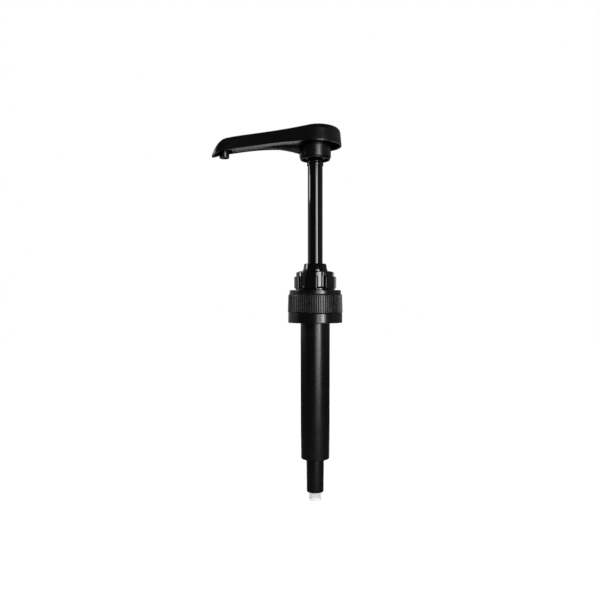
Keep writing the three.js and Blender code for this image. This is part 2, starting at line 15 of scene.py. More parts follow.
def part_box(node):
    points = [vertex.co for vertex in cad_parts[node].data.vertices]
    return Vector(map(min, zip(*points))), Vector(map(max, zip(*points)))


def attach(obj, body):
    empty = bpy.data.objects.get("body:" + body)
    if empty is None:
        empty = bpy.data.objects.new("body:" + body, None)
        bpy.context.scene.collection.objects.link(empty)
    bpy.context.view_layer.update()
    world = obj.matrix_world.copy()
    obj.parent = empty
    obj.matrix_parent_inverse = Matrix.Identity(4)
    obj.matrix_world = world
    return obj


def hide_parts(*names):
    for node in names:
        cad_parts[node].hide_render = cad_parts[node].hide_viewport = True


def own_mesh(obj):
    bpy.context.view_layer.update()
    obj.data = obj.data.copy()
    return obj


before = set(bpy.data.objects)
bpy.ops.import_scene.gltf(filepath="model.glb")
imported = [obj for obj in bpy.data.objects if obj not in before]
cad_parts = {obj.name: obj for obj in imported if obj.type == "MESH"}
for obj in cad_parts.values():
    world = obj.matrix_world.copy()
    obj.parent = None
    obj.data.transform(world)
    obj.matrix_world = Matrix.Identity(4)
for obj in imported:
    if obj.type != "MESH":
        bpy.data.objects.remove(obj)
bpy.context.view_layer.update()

MM = 0.001
SEGMENTS = 160  # round a turned piece
FINE_SEGMENTS = 72  # round the nozzle
SHARP_ANGLE = 38
BEVEL_ANGLE = 35
CUT_LOW, CUT_HIGH = 90, 140  # heights that a cutting tool has to pass


# ------------------------------------------------------------------ meshes
def rounded(points, steps=5):
    """A closed outline of (r, z) or (r, z, radius) corners, with an arc at each that has a radius."""
    out = []
    count = len(points)
    for i, corner in enumerate(points):
        here = Vector(corner[:2])
        radius = corner[2] if len(corner) > 2 else 0.0
        if radius <= 0:
            out.append(tuple(here))
            continue
        before = Vector(points[i - 1][:2]) - here
        after = Vector(points[(i + 1) % count][:2]) - here
        half = before.angle(after) / 2
        reach = radius / math.tan(half)
        reach = min(reach, 0.49 * before.length, 0.49 * after.length)
        radius = reach * math.tan(half)
        a = here + before.normalized() * reach
        b = here + after.normalized() * reach
        centre = here + (before.normalized() + after.normalized()).normalized() * (radius / math.sin(half))
        start = math.atan2(a.y - centre.y, a.x - centre.x)
        sweep = math.atan2(b.y - centre.y, b.x - centre.x) - start
        sweep = (sweep + math.pi) % (2 * math.pi) - math.pi
        for k in range(steps + 1):
            angle = start + sweep * k / steps
            out.append((centre.x + radius * math.cos(angle), centre.y + radius * math.sin(angle)))
    return out


def full_turn(count):
    """Evenly spaced angles round a circle."""
    return [2 * math.pi * i / count for i in range(count)]


def linked(name, data):
    """An object for some data, placed in the scene."""
    obj = bpy.data.objects.new(name, data)
    bpy.context.scene.collection.objects.link(obj)
    return obj


def mesh_object(name, verts, faces):
    """A mesh object from vertices in millimetres, merged, with its faces turned outwards."""
    mesh = bpy.data.meshes.new(name)
    mesh.from_pydata([tuple(c * MM for c in v) for v in verts], [], faces)
    work = bmesh.new()
    work.from_mesh(mesh)
    bmesh.ops.remove_doubles(work, verts=work.verts, dist=2e-6)
    bmesh.ops.dissolve_degenerate(work, dist=1e-6, edges=work.edges)
    bmesh.ops.recalc_face_normals(work, faces=work.faces)
    work.to_mesh(mesh)
    work.free()
    return linked(name, mesh)


def revolved(name, profile, angles=None, warp=None, x=0.0):
    """A closed (r, z) profile turned about the upright line at x. warp(r, z, angle) can move a point."""
    angles = angles or full_turn(SEGMENTS)
    verts = []
    for angle in angles:
        for r, z in profile:
            if warp:
                r, z = warp(r, z, angle)
            verts.append((x + r * math.cos(angle), r * math.sin(angle), z))
    rows, turns = len(profile), len(angles)
    faces = []
    for i in range(turns):
        j = (i + 1) % turns
        for k in range(rows):
            m = (k + 1) % rows
            faces.append((i * rows + k, j * rows + k, j * rows + m, i * rows + m))
    return mesh_object(name, verts, faces)


def ball(name, radius, centre_z):
    """A fine round ball."""
    work = bmesh.new()
    bmesh.ops.create_icosphere(work, subdivisions=4, radius=radius * MM)
    bmesh.ops.translate(work, verts=work.verts, vec=(0, 0, centre_z * MM))
    mesh = bpy.data.meshes.new(name)
    work.to_mesh(mesh)
    work.free()
    return linked(name, mesh)


def slab(name, stations, half_width, low, high, crown=0.0):
    """A closed bar along X. Its half width, underside and top are functions of x. crown lowers the
    middle of the underside.
    """
    verts, faces = [], []
    for x in stations:
        w = half_width(x)
        verts += [(x, -w, low(x)), (x, 0, low(x) - crown), (x, w, low(x)),
                  (x, w, high(x)), (x, -w, high(x))]
    corners = 5
    for i in range(len(stations) - 1):
        for k in range(corners):
            a, b = corners * i + k, corners * i + (k + 1) % corners
            faces.append((a, b, b + corners, a + corners))
    last = corners * (len(stations) - 1)
    faces += [tuple(reversed(range(corners))), tuple(last + k for k in range(corners))]
    return mesh_object(name, verts, faces)


def combine(target, tool, operation):
    """Joins a tool to a piece or cuts it out, and removes the tool."""
    modifier = target.modifiers.new("combine", "BOOLEAN")
    modifier.operation = operation
    modifier.object = tool
    modifier.solver = "EXACT"
    apply_modifiers(target)
    bpy.data.objects.remove(tool)
    return target


def apply_modifiers(obj):
    """Turns what the modifiers show into the object's own mesh."""
    graph = bpy.context.evaluated_depsgraph_get()
    graph.update()
    mesh = bpy.data.meshes.new_from_object(obj.evaluated_get(graph))
    obj.modifiers.clear()
    old = obj.data
    obj.data = mesh
    mesh.name = obj.name
    bpy.data.meshes.remove(old)


def bevelled(obj, width):
    """Rounds a piece's sharp edges."""
    modifier = obj.modifiers.new("edges", "BEVEL")
    modifier.width = width * MM
    modifier.segments = 3
    modifier.limit_method = "ANGLE"
    modifier.angle_limit = math.radians(BEVEL_ANGLE)
    apply_modifiers(obj)


def finished(obj, body, material, nodes):
    """Shades a piece, gives it its material and ties it to its CAD body and nodes."""
    mesh = obj.data
    mesh.materials.clear()
    mesh.materials.append(material)
    mesh.polygons.foreach_set("use_smooth", [True] * len(mesh.polygons))
    mesh.set_sharp_from_angle(angle=math.radians(SHARP_ANGLE))
    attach(obj, body)
    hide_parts(*nodes)
    return obj


# ------------------------------------------------------------------ materials
NOISE_LOW, NOISE_HIGH = 0.3, 0.7  # most of a noise texture's values lie between these
MILKY_ROUGHNESS = (0.28, 0.42)


def new_material(name):
    material = bpy.data.materials.new(name)
    material.use_nodes = True
    tree = material.node_tree
    shader = tree.nodes["Principled BSDF"]
    place = tree.nodes.new("ShaderNodeTexCoord")
    return material, tree, shader, place


def noise(tree, place, scale, detail, stretch=(1, 1, 1)):
    """Noise in the object's own space, with `scale` features a metre."""
    mapping = tree.nodes.new("ShaderNodeMapping")
    mapping.inputs["Scale"].default_value = stretch
    texture = tree.nodes.new("ShaderNodeTexNoise")
    texture.inputs["Scale"].default_value = scale
    texture.inputs["Detail"].default_value = detail
    tree.links.new(place.outputs["Object"], mapping.inputs["Vector"])
    tree.links.new(mapping.outputs["Vector"], texture.inputs["Vector"])
    return texture.outputs["Fac"]


def ramp(tree, value, low, high):
    """Turns a noise value into a colour between two others."""
    node = tree.nodes.new("ShaderNodeValToRGB")
    node.color_ramp.elements[0].position = NOISE_LOW
    node.color_ramp.elements[1].position = NOISE_HIGH
    node.color_ramp.elements[0].color = (*low, 1)
    node.color_ramp.elements[1].color = (*high, 1)
    tree.links.new(value, node.inputs["Fac"])
    return node.outputs["Color"]


def spread(tree, value, low, high):
    """Turns a noise value into a number from low to high."""
    node = tree.nodes.new("ShaderNodeMapRange")
    node.inputs["From Min"].default_value = NOISE_LOW
    node.inputs["From Max"].default_value = NOISE_HIGH
    node.inputs["To Min"].default_value = low
    node.inputs["To Max"].default_value = high
    tree.links.new(value, node.inputs["Value"])
    return node.outputs["Result"]


def bump(tree, shader, layers):
    """Stacks (height, strength, distance) bumps on the shader's normal."""
    normal = None
    for height, strength, distance in layers:
        node = tree.nodes.new("ShaderNodeBump")
        node.inputs["Strength"].default_value = strength
        node.inputs["Distance"].default_value = distance
        tree.links.new(height, node.inputs["Height"])
        if normal:
            tree.links.new(normal, node.inputs["Normal"])
        normal = node.outputs["Normal"]
    tree.links.new(normal, shader.inputs["Normal"])


def plastic(name, dark, light, rough, grain, grain_depth):
    """Moulded plastic: faint colour flow, uneven gloss, fine grain and very fine handling scratches."""
    material, tree, shader, place = new_material(name)
    flow = noise(tree, place, 45, 3)
    tree.links.new(ramp(tree, flow, dark, light), shader.inputs["Base Color"])
    patches = noise(tree, place, 160, 5)
    tree.links.new(spread(tree, patches, *rough), shader.inputs["Roughness"])
    shader.inputs["IOR"].default_value = 1.49
    fine = noise(tree, place, grain, 2)
    scratch = noise(tree, place, 900, 3, stretch=(1, 1, 0.06))
    sink = noise(tree, place, 28, 1)
    bump(tree, shader, [(sink, 0.15, 0.0006), (scratch, 0.05, 0.00008), (fine, grain_depth, 0.00005)])
    return material


def translucent_plastic(name, colour, light, through, alpha=1.0):
    """Natural polyethylene: milky, partly clear, with faint extrusion lines."""
    material, tree, shader, place = new_material(name)
    cloud = noise(tree, place, 120, 3)
    tree.links.new(ramp(tree, cloud, colour, light), shader.inputs["Base Color"])
    tree.links.new(spread(tree, cloud, *MILKY_ROUGHNESS), shader.inputs["Roughness"])
    shader.inputs["IOR"].default_value = 1.5
    shader.inputs["Transmission Weight"].default_value = through
    shader.inputs["Alpha"].default_value = alpha
    shader.inputs["Subsurface Weight"].default_value = 0.3
    shader.inputs["Subsurface Radius"].default_value = (0.002, 0.002, 0.002)
    lines = noise(tree, place, 1500, 2, stretch=(1, 1, 0.04))
    bump(tree, shader, [(lines, 0.12, 0.00006)])
    return material


def rubber(name, dark, light):
    """Soft seal rubber, dull and faintly uneven."""
    material, tree, shader, place = new_material(name)
    cloud = noise(tree, place, 300, 4)
    tree.links.new(ramp(tree, cloud, dark, light), shader.inputs["Base Color"])
    tree.links.new(spread(tree, cloud, 0.55, 0.75), shader.inputs["Roughness"])
    bump(tree, shader, [(noise(tree, place, 4000, 2), 0.3, 0.00005)])
    return material


def steel(name, stretch):
    """Drawn or ground stainless steel with fine lines across its stretch."""
    material, tree, shader, place = new_material(name)
    lines = noise(tree, place, 2600, 4, stretch=stretch)
    cloud = noise(tree, place, 220, 3)
    tree.links.new(ramp(tree, cloud, (0.50, 0.50, 0.51), (0.62, 0.62, 0.63)), shader.inputs["Base Color"])
    tree.links.new(spread(tree, lines, 0.16, 0.32), shader.inputs["Roughness"])
    shader.inputs["Metallic"].default_value = 1.0
    bump(tree, shader, [(lines, 0.15, 0.00004)])
    return material


SATIN = plastic("satin_black_plastic", dark=(0.0013, 0.0013, 0.0014), light=(0.0022, 0.0022, 0.0023),
                rough=(0.25, 0.31), grain=3800, grain_depth=0.2)
BARREL = plastic("barrel_black_plastic", dark=(0.0020, 0.0020, 0.0021), light=(0.0032, 0.0032, 0.0034),
                 rough=(0.24, 0.30), grain=3000, grain_depth=0.16)
GLOSS = plastic("gloss_black_plastic", dark=(0.0016, 0.0016, 0.0018), light=(0.0026, 0.0026, 0.0028),
                rough=(0.05, 0.08), grain=2400, grain_depth=0.02)
COVER_BLACK = plastic("cover_plastic", dark=(0.0022, 0.0022, 0.0024), light=(0.0036, 0.0036, 0.0038),
                      rough=(0.36, 0.43), grain=3400, grain_depth=0.2)
RIBBED = plastic("ribbed_black_plastic", dark=(0.0024, 0.0024, 0.0026), light=(0.0040, 0.0040, 0.0043),
                 rough=(0.17, 0.24), grain=3400, grain_depth=0.2)
SEAL_WHITE = plastic("waxy_white_plastic", dark=(0.74, 0.73, 0.68), light=(0.82, 0.81, 0.77),
                     rough=(0.38, 0.5), grain=2500, grain_depth=0.15)
NATURAL = translucent_plastic("natural_plastic", (0.80, 0.82, 0.80), (0.90, 0.91, 0.89), through=0.55)
TUBE = translucent_plastic("tube_plastic", (0.84, 0.86, 0.86), (0.92, 0.93, 0.93), through=0.1, alpha=0.3)
SEAL_GREY = rubber("seal_rubber", (0.035, 0.037, 0.04), (0.06, 0.062, 0.066))
SPRING_STEEL = steel("spring_steel", (1, 1, 0.2))
BALL_STEEL = steel("ball_steel", (1, 1, 1))


# ------------------------------------------------------------------ lever head
HEAD_R = 21.2
HEAD_WALL = 1.8
HEAD_TOP = 135.0
HEAD_CEILING = 131.6
POCKET_R = HEAD_R - HEAD_WALL
ARM_HALF = 8.2
NOSE_TIP = -83.1
NOSE_START = -70.0
BLEND_END = -58.0
BLEND_ANGLE = math.radians(113)
COLLAR_R = 12.65
COLLAR_LOW = 109.3
SOCKET_R = 6.12
NOZZLE_X = -73.0
NOZZLE_BORE = 2.5
COVER_HALF = 6.2
COVER_CROWN = 0.6
POCKET_START = -12.0
COVER_START = -12.2
COVER_END = -64.6
NOSE_CEILING = 119.2
UNDERSIDE_SLOPE = 0.13
UNDERSIDE_RUN = 5.0


def clamped(value):
    """The value, kept between 0 and 1."""
    return min(1.0, max(0.0, value))


def cubic(a, b, c, d, t):
    s = 1 - t
    return tuple(s ** 3 * a[i] + 3 * s * s * t * b[i] + 3 * s * t * t * c[i] + t ** 3 * d[i]
                 for i in (0, 1))


def quadratic(a, b, c, t):
    s = 1 - t
    return tuple(s * s * a[i] + 2 * s * t * b[i] + t * t * c[i] for i in (0, 1))


def curve_of_x(*pieces, samples=60):
    """A function of x read off a chain of cubic curves, each given by its four points."""
    points = [cubic(*piece, k / samples) for piece in pieces for k in range(samples + 1)]
    points.sort()
    xs = np.array([p[0] for p in points])
    zs = np.array([p[1] for p in points])
    return lambda x: float(np.interp(x, xs, zs))


crest = curve_of_x(
    ((HEAD_R + 1, HEAD_TOP), (14, HEAD_TOP), (7, HEAD_TOP), (0, HEAD_TOP)),
    ((0, HEAD_TOP), (-24, HEAD_TOP - 3.1), (-50, HEAD_TOP - 4.0), (-70, 126.9)),
    ((-70, 126.9), (-77.5, 125.5), (-80.2, 119), (NOSE_TIP - 0.2, 111.7)),
)


def lever_top(x):
    """The crest line, eased where the round end's flat top meets the falling arm."""
    reach = 6.0 * clamped((x + 24) / 10)
    return sum(crest(x + reach * k / 6) for k in range(-6, 7)) / 13


lever_lip = curve_of_x(
    ((HEAD_R + 1, 120.4), (8, 120.5), (-8, 120.6), (-24, 120.6)),
    ((-24, 120.6), (-44, 120.2), (-62, 116.8), (-74, 115.3)),
    ((-74, 115.3), (-77, 114.8), (-80, 113.4), (NOSE_TIP, 111.7)),
)


def lever_outline(arc=56, blend=44, straight=10, nose=44):
    """The lever's plan from its round end to the tip of the nose, as (edge point, spine x) pairs."""
    pairs = []
    for k in range(arc):
        angle = BLEND_ANGLE * k / arc
        pairs.append(((HEAD_R * math.cos(angle), HEAD_R * math.sin(angle)), 0.0))
    a = (HEAD_R * math.cos(BLEND_ANGLE), HEAD_R * math.sin(BLEND_ANGLE))
    b, c = (-36.4, ARM_HALF + 0.4), (BLEND_END, ARM_HALF)
    for k in range(blend):
        t = k / blend
        x, y = quadratic(a, b, c, t)
        dx = 2 * (1 - t) * (b[0] - a[0]) + 2 * t * (c[0] - b[0])
        dy = 2 * (1 - t) * (b[1] - a[1]) + 2 * t * (c[1] - b[1])
        pairs.append(((x, y), x + y * dy / dx))
    for k in range(straight):
        x = BLEND_END + (NOSE_START - BLEND_END) * k / straight
        pairs.append(((x, ARM_HALF), x))
    for k in range(nose + 1):
        t = 1 - (1 - k / nose) ** 1.3
        x, y = cubic((NOSE_START, ARM_HALF), (NOSE_START - 8, ARM_HALF), (NOSE_TIP, ARM_HALF * 0.72),
                     (NOSE_TIP, 0), t)
        pairs.append(((x, y), x))
    return pairs


EdgeSpot = namedtuple("EdgeSpot", "x y spine reach lip_round draft edge_round crown")


def edge_spots(loop):
    """How the lever's wall and edges are shaped at each point of its plan."""
    spots = []
    for (x, y), spine in loop:
        reach = math.hypot(x - spine, y)
        height = max(0.0, lever_top(x) - lever_lip(x))
        arm = clamped(-x / 60)
        full = min(1.0, reach / ARM_HALF, height / 10)
        edge_round = min(4.4 - 1.2 * arm, 0.5 * reach, 0.55 * height)
        lip_round = min(0.06 + 0.39 * arm, 0.06 * reach, 0.2 * height)
        spots.append(EdgeSpot(x, y, spine, reach, lip_round, 0.9 * full, edge_round, 0.5 * full))
    return spots


def moved(spot, inset):
    """The plan position that far in from a point of the edge, towards the spine."""
    share = min(1.0, inset / max(spot.reach, 1e-6))
    return spot.x + (spot.spine - spot.x) * share, spot.y * (1 - share)


def underside_point(spot, k, steps):
    inset = spot.lip_round + (spot.reach - spot.lip_round) * k / steps
    x, y = moved(spot, inset)
    slope = UNDERSIDE_SLOPE * min(clamped((-x - 6) / 8), clamped((x - NOSE_START) / 6))
    return x, y, lever_lip(x) - slope * min(inset - spot.lip_round, UNDERSIDE_RUN)


def lip_point(spot, k, steps):
    angle = math.pi / 2 * k / steps
    x, y = moved(spot, spot.lip_round * (1 - math.sin(angle)))
    return x, y, lever_lip(x) + spot.lip_round * (1 - math.cos(angle))


def wall_point(spot, k, steps):
    share = k / steps
    x, y = moved(spot, spot.draft * share)
    low = lever_lip(x) + spot.lip_round
    high = max(low, lever_top(x) - spot.crown - spot.edge_round)
    return x, y, low + (high - low) * share


def top_edge_point(spot, k, steps):
    angle = math.pi / 2 * k / steps
    x, y = moved(spot, spot.draft + spot.edge_round * (1 - math.cos(angle)))
    return x, y, lever_top(x) - spot.crown - spot.edge_round * (1 - math.sin(angle))


def top_point(spot, k, steps):
    share = k / steps
    edge = spot.draft + spot.edge_round
    x, y = moved(spot, edge + (spot.reach - edge) * share)
    return x, y, lever_top(x) - spot.crown * (1 - share) ** 2


def lever_shell():
    """The lever's outer skin: crowned top, rounded edge, drafted wall and closed, sloping underside."""
    half = lever_outline()
    loop = half + [((x, -y), s) for (x, y), s in reversed(half[1:-1])]
    spots = edge_spots(loop)
    lip_steps, wall_steps, edge_steps, top_steps = 3, 7, 10, 12
    rings = [[underside_point(spot, k, top_steps) for spot in spots] for k in range(top_steps, 0, -1)]
    rings += [[lip_point(spot, k, lip_steps) for spot in spots] for k in range(lip_steps + 1)]
    rings += [[wall_point(spot, k, wall_steps) for spot in spots] for k in range(1, wall_steps + 1)]
    rings += [[top_edge_point(spot, k, edge_steps) for spot in spots] for k in range(1, edge_steps + 1)]
    rings += [[top_point(spot, k, top_steps) for spot in spots] for k in range(1, top_steps + 1)]
    verts = [v for ring in rings for v in ring]
    n = len(loop)
    faces = []
    for k in range(len(rings) - 1):
        for i in range(n):
            j = (i + 1) % n
            faces.append((k * n + i, k * n + j, (k + 1) * n + j, (k + 1) * n + i))
    return mesh_object("lever_head", verts, faces)


def stations(start, end, count):
    """Evenly spaced places from start to end."""
    return [start + (end - start) * k / count for k in range(count + 1)]


def nose_half(x):
    """Half width of the hollow under the nose."""
    share = clamped((x - (NOSE_TIP + HEAD_WALL)) / (NOSE_START - NOSE_TIP - HEAD_WALL))
    return max(0.4, (ARM_HALF - HEAD_WALL) * math.sqrt(1 - (1 - share) ** 2))


def post(name, radius):
    """A tall upright bar on the pump's axis, to cut with."""
    return revolved(name, [(0, CUT_LOW), (radius, CUT_LOW), (radius, CUT_HIGH), (0, CUT_HIGH)])


def block(name, start, end, half_width):
    """A tall upright block, to cut with."""
    return slab(name, stations(start, end, 2), lambda x: half_width, lambda x: CUT_LOW, lambda x: CUT_HIGH)


def make_pocket():
    """The round hollow in the lever's round end, open below and kept off the arm."""
    pocket = revolved("pocket", rounded([
        (0, 100), (POCKET_R + 0.3, 100), (POCKET_R + 0.3, 120.2), (POCKET_R, 121.0, 0.6),
        (POCKET_R - 0.4, HEAD_CEILING, 1.6), (0, HEAD_CEILING)]))
    combine(pocket, block("bridge", -40, 0, COVER_HALF + 1.2), "DIFFERENCE")
    combine(pocket, block("arm_side", -40, POCKET_START, 30), "DIFFERENCE")
    return pocket


def make_collar():
    """The socket for the stem, which hangs from the lever's ceiling."""
    return revolved("collar", rounded([
        (8.6, 110.9, 0.3), (8.6, 117.5), (10.9, 117.5, 0.5), (10.9, COLLAR_LOW, 0.3),
        (11.75, COLLAR_LOW, 0.5), (COLLAR_R, COLLAR_LOW + 2.6, 1.6), (COLLAR_R + 0.15, HEAD_CEILING + 0.3),
        (SOCKET_R, HEAD_CEILING + 0.3), (SOCKET_R, 110.9, 0.4)]))


def make_head():
    head = lever_shell()
    combine(head, make_pocket(), "DIFFERENCE")
    nose = slab("nose_hollow", stations(NOSE_TIP + HEAD_WALL, COVER_END - HEAD_WALL, 40), nose_half,
                lambda x: 100, lambda x: min(NOSE_CEILING, lever_top(x) - 2.2))
    combine(head, nose, "DIFFERENCE")
    recess = slab("recess", stations(COVER_END - 0.4, COVER_START + 0.4, 36), lambda x: COVER_HALF + 0.3,
                  lambda x: lever_lip(x) - 6, lambda x: lever_lip(x) + 2.2)
    combine(recess, post("keep", COLLAR_R - 0.3), "DIFFERENCE")
    combine(head, recess, "DIFFERENCE")
    combine(head, make_collar(), "UNION")
    nozzle = revolved("nozzle", rounded([
        (NOZZLE_BORE, 110.8, 0.25), (3.95, 110.8, 0.45), (3.95, NOSE_CEILING + 0.4),
        (NOZZLE_BORE, NOSE_CEILING + 0.4)]), angles=full_turn(FINE_SEGMENTS), x=NOZZLE_X)
    combine(head, nozzle, "UNION")
    bore = revolved("bore", [(0, 100), (NOZZLE_BORE, 100), (NOZZLE_BORE, 122.5), (0, 122.5)],
                    angles=full_turn(FINE_SEGMENTS), x=NOZZLE_X)
    return combine(head, bore, "DIFFERENCE")


def clear_of_collar(piece):
    """Cuts away what would lie inside the lever's collar."""
    return combine(piece, post("keep", COLLAR_R - 0.1), "DIFFERENCE")


def make_cover_plate():
    """The flow channel's closing plate, a little lower along its middle."""
    plate = slab("channel_cover_plate", stations(COVER_END, COVER_START, 60), lambda x: COVER_HALF,
                 lambda x: lever_lip(x) + 0.2, lambda x: lever_lip(x) + 1.8, COVER_CROWN)
    bevelled(plate, 0.25)
    return clear_of_collar(plate)


def make_gusset():
    """The plate's curved gusset, which runs to the collar."""
    start, half_width = -47, 1.5
    gusset_low = curve_of_x(((start, 119.4), (-36, 118.9), (-22, 117.6), (COVER_START, 114.2)))
    gusset = slab("cover_gusset", stations(start, COVER_START, 48), lambda x: half_width, gusset_low,
                  lambda x: lever_lip(x) + 1.0)
    bevelled(gusset, 0.35)
    return clear_of_collar(gusset)


# ------------------------------------------------------------------ plunger
STEM_R = 6.0
STEM_BORE = 4.2
STOP_RING_R = 6.65
SEAL_R = 10.12  # where the piston's seals touch the barrel
SEAL_SEAT_R = 8.0
SEAL_GROOVE_R = 7.9
PISTON_R = 9.7
WIRE_R = 0.75
COIL_R = 8.3
SPRING_LOW = -124.8
SPRING_HIGH = -16.4
SPRING_TURNS = 15
CLOSED_TURNS = 1.0  # at each end
CLOSED_PITCH = 1.75


def make_stem():
    """The hollow rod, with a seal groove near each end and a stop ring below the socket."""
    return revolved("stem_rod", rounded([
        (4.95, -1.9), (STEM_R, -1.9, 0.3), (STEM_R, 3.9), (5.25, 3.9), (5.25, 5.3), (STEM_R, 5.3),
        (STEM_R, 104.7), (STOP_RING_R, 104.7, 0.35), (STOP_RING_R, 107.1, 0.35), (STEM_R, 107.1),
        (STEM_R, 113.4), (5.2, 113.4), (5.2, 114.8), (STEM_R, 114.8), (STEM_R, 118.6, 0.5),
        (STEM_BORE, 118.6), (STEM_BORE, 0.4), (4.95, 0.4)]))


def make_o_ring(name, height):
    middle, radius, sides = 5.66, 0.4, 20
    section = [(middle + radius * math.cos(2 * math.pi * k / sides),
                height + radius * math.sin(2 * math.pi * k / sides)) for k in range(sides)]
    return revolved(name, section)


def make_carrier():
    """The piston's body, with two seal grooves outside and the outlet ball's seat inside."""
    return revolved("piston_body", rounded([
        (2.9, -15.0, 0.3), (PISTON_R, -15.0, 0.4), (PISTON_R, -12.6, 0.2), (SEAL_GROOVE_R, -12.6),
        (SEAL_GROOVE_R, -8.6), (9.0, -8.6, 0.3), (9.0, -0.9), (PISTON_R, -0.9, 0.2), (PISTON_R, 0.4, 0.2),
        (SEAL_GROOVE_R, 0.4), (SEAL_GROOVE_R, 6.2), (8.8, 6.2, 0.2), (8.8, 7.6, 0.4), (SOCKET_R, 7.6, 0.3),
        (SOCKET_R, -2.0), (5.0, -2.0), (5.0, -7.0), (2.9, -9.6)]))


def make_piston_seal():
    return revolved("piston_cup_seal", rounded([
        (SEAL_SEAT_R, 0.5), (9.4, 0.5, 0.2), (10.0, 1.2, 0.2), (SEAL_R, 2.0, 0.3), (9.75, 3.0, 0.4),
        (9.75, 4.2, 0.4), (SEAL_R, 5.2, 0.2), (9.9, 6.1, 0.1), (9.3, 5.4, 0.2), (SEAL_SEAT_R, 5.0)]))


def make_guide_ring():
    return revolved("piston_slide_ring", rounded([
        (SEAL_SEAT_R, -12.5), (PISTON_R, -12.5, 0.2), (SEAL_R, -11.9, 0.3), (SEAL_R, -9.3, 0.3),
        (PISTON_R, -8.7, 0.2), (SEAL_SEAT_R, -8.7)]))


def spring_height(turn):
    """Height of the wire's centre after so many turns: closed ends and an evenly open middle."""
    active = SPRING_TURNS - 2 * CLOSED_TURNS
    open_pitch = (SPRING_HIGH - SPRING_LOW - 2 * WIRE_R - 2 * CLOSED_TURNS * CLOSED_PITCH) / active
    lead = min(turn, CLOSED_TURNS) * CLOSED_PITCH
    middle = min(max(turn - CLOSED_TURNS, 0), active) * open_pitch
    tail = max(turn - CLOSED_TURNS - active, 0) * CLOSED_PITCH
    return SPRING_LOW + WIRE_R + lead + middle + tail


def make_spring():
    """Round wire swept along the coil."""
    steps, sides, nudge = 44, 14, 0.01
    total = SPRING_TURNS * steps
    verts, faces = [], []
    for i in range(total + 1):
        turn = i / steps
        angle = 2 * math.pi * turn
        out = Vector((math.cos(angle), math.sin(angle), 0))
        rise = spring_height(min(turn + nudge, SPRING_TURNS)) - spring_height(max(turn - nudge, 0))
        slope = rise / (2 * nudge) / (2 * math.pi * COIL_R)
        along = Vector((-math.sin(angle), math.cos(angle), slope)).normalized()
        side = along.cross(out).normalized()
        middle = out * COIL_R + Vector((0, 0, spring_height(turn)))
        for k in range(sides):
            a = 2 * math.pi * k / sides
            verts.append(tuple(middle + (out * math.cos(a) + side * math.sin(a)) * WIRE_R))
    for i in range(total):
        for k in range(sides):
            m = (k + 1) % sides
            faces.append((i * sides + k, (i + 1) * sides + k, (i + 1) * sides + m, i * sides + m))
    faces.append(tuple(range(sides)))
    faces.append(tuple(range((total + 1) * sides - 1, total * sides - 1, -1)))
    return mesh_object("return_coil", verts, faces)


# ------------------------------------------------------------------ bush and guide nut
BUSH_BORE = 6.1
WIPER_SEAT_R = 8.7


def make_guide():
    """The stepped bush that the stem slides in, with a seat for the wiper."""
    return revolved("stem_bush", rounded([
        (WIPER_SEAT_R, 8.0), (9.95, 8.0, 0.3), (9.95, 16.1), (11.7, 16.1), (11.7, 17.8), (9.9, 17.8),
        (9.9, 21.2, 0.4), (9.45, 21.8, 0.3), (8.95, 26.1, 1.0), (BUSH_BORE, 26.1, 0.5), (BUSH_BORE, 12.6),
        (WIPER_SEAT_R, 12.6)]))


def make_wiper():
    return revolved("stem_wiper_lip", rounded([
        (6.6, 9.7), (8.6, 9.7, 0.2), (8.6, 12.5, 0.2), (6.9, 12.5, 0.2), (6.05, 11.8, 0.1),
        (6.6, 10.9, 0.3)]))


def ridge(z, angle, low, pitch, turns, width):
    """Share of full height that a helical thread ridge has at a height and angle."""
    runout_turns, steepness = 0.08, 2.2
    turn = angle / (2 * math.pi)
    best = 0.0
    for lap in range(int(turns) + 2):
        along = turn + lap
        if along > turns:
            break
        middle = low + pitch * along + width / 2
        flank = 1 - abs(z - middle) / (width / 2)
        runout = min(1.0, along / runout_turns, (turns - along) / runout_turns)
        best = max(best, clamped(flank * steepness) * runout)
    return best


LUGS = 6
LUG_STEP = 360 // LUGS
LUG_FIRST = -104
LUG_HALF = 18.0
VALLEY_R = 14.0
NUT_THREAD_R = 12.95
NECK_PITCH = 3.0
# degrees past a lug's edge, and the share of the lug's height there
LUG_FLANK = ((-1.8, 1.0), (-1.1, 0.985), (-0.5, 0.94), (-0.1, 0.86), (0.15, 0.74), (0.75, 0.2), (1.0, 0.1),
             (1.4, 0.04), (2.0, 0.0))


def nut_angles():
    """Angles that are close together at the lugs' edges."""
    out = []
    for lug in range(LUGS):
        middle = LUG_FIRST + LUG_STEP * lug
        marks = [-30, -27, -24]
        marks += [-LUG_HALF - u for u, _ in reversed(LUG_FLANK)]
        marks += [(LUG_HALF + LUG_FLANK[0][0]) * k / 7 for k in range(-6, 7)]
        marks += [LUG_HALF + u for u, _ in LUG_FLANK]
        marks += [24, 27]
        out += [math.radians(middle + m) for m in marks]
    return out


def lug_share(angle):
    """1 on a lug, 0 between lugs, with steep rounded flanks."""
    offset = (math.degrees(angle) - LUG_FIRST + LUG_STEP / 2) % LUG_STEP - LUG_STEP / 2
    us, shares = zip(*LUG_FLANK)
    return float(np.interp(abs(offset) - LUG_HALF, us, shares))


